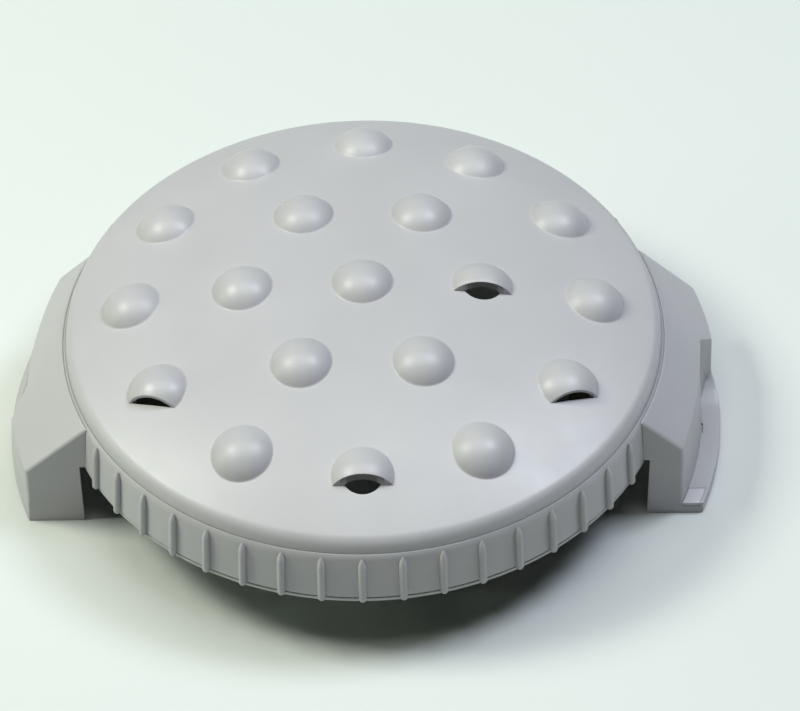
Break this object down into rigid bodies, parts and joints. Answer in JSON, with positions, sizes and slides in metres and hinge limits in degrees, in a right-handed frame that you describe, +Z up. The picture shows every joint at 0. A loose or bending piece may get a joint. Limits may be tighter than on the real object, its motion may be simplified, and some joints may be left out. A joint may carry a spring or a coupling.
{
  "type": "rotary surface cleaner head",
  "caption": "Round studded surface-cleaner head with hooded vents, ribbed skirt and two side wings over a water-driven spray bar.",
  "frame": {"origin": "on the floor, under the axis of the round lid", "axes": "+Z up along the spin axis, -Y towards the side seen in front, +X to the wing whose set-back half faces the front"},
  "size_m": [0.2526, 0.2168, 0.0756],
  "materials": {
    "shell_plastic": "satin moulded",
    "lip_plastic": "satin",
    "tab_plastic": "polished by sliding",
    "seal_rubber": "matt",
    "pad_plastic": "matt",
    "ptfe": "matt",
    "block_aluminium": "machined",
    "brass": "machined",
    "stainless": "drawn"
  },
  "bodies": {
    "housing": {"studded_cover": "shell_plastic", "cover_gasket": "seal_rubber", "skirt_ring": "shell_plastic", "edge_lip": "lip_plastic", "left_wing": "shell_plastic", "right_wing": "shell_plastic", "left_foot_pad": "pad_plastic", "right_foot_pad": "pad_plastic", "left_flange_tab": "tab_plastic", "right_flange_tab": "tab_plastic", "cover_screws": "stainless", "wing_screws": "stainless", "swivel_block": "block_aluminium", "swivel_screws": "stainless", "block_cap": "pad_plastic", "upper_bearing_outer": "stainless", "lower_bearing_outer": "stainless", "upper_seal": "seal_rubber", "lower_seal": "seal_rubber", "upper_backup_ring": "ptfe", "lower_backup_ring": "ptfe", "block_circlip": "stainless", "inlet_pipe": "stainless", "pipe_gland_nut": "brass", "pipe_washer": "seal_rubber", "pipe_saddle": "pad_plastic", "saddle_screws": "stainless", "inlet_spigot": "brass", "inlet_strainer": "stainless"},
    "inlet_nut": {"coupling_nut": "brass", "nut_washer": "seal_rubber"},
    "rotor": {"rotor_shaft": "stainless", "shaft_circlip": "stainless", "upper_bearing_inner": "stainless", "lower_bearing_inner": "stainless", "rotor_hub": "block_aluminium", "hub_screws": "stainless", "left_spray_tube": "stainless", "right_spray_tube": "stainless", "left_nozzle_block": "brass", "right_nozzle_block": "brass", "left_nozzle": "stainless", "right_nozzle": "stainless", "nozzle_seals": "seal_rubber"},
    "upper_ball_set": {"upper_bearing_cage": "brass", "upper_bearing_balls": "stainless"},
    "lower_ball_set": {"lower_bearing_cage": "brass", "lower_bearing_balls": "stainless"}
  },
  "joints": [
    {"name": "rotor_spin", "type": "hinge", "parent": "housing", "child": "rotor", "pos_m": [0, 0, 0.0345], "axis": [0, 0, 1], "continuous": true},
    {"name": "upper_ball_orbit", "type": "hinge", "parent": "housing", "child": "upper_ball_set", "pos_m": [0, 0, 0.0525], "axis": [0, 0, 1], "continuous": true},
    {"name": "lower_ball_orbit", "type": "hinge", "parent": "housing", "child": "lower_ball_set", "pos_m": [0, 0, 0.023], "axis": [0, 0, 1], "continuous": true},
    {"name": "inlet_nut_spin", "type": "hinge", "parent": "housing", "child": "inlet_nut", "pos_m": [0, 0.1, 0.0345], "axis": [0, 1, 0], "continuous": true}
  ],
  "couplings": [
    {"joint": "upper_ball_orbit", "follows": "rotor_spin", "ratio": 0.40625},
    {"joint": "lower_ball_orbit", "follows": "rotor_spin", "ratio": 0.40625}
  ]
}
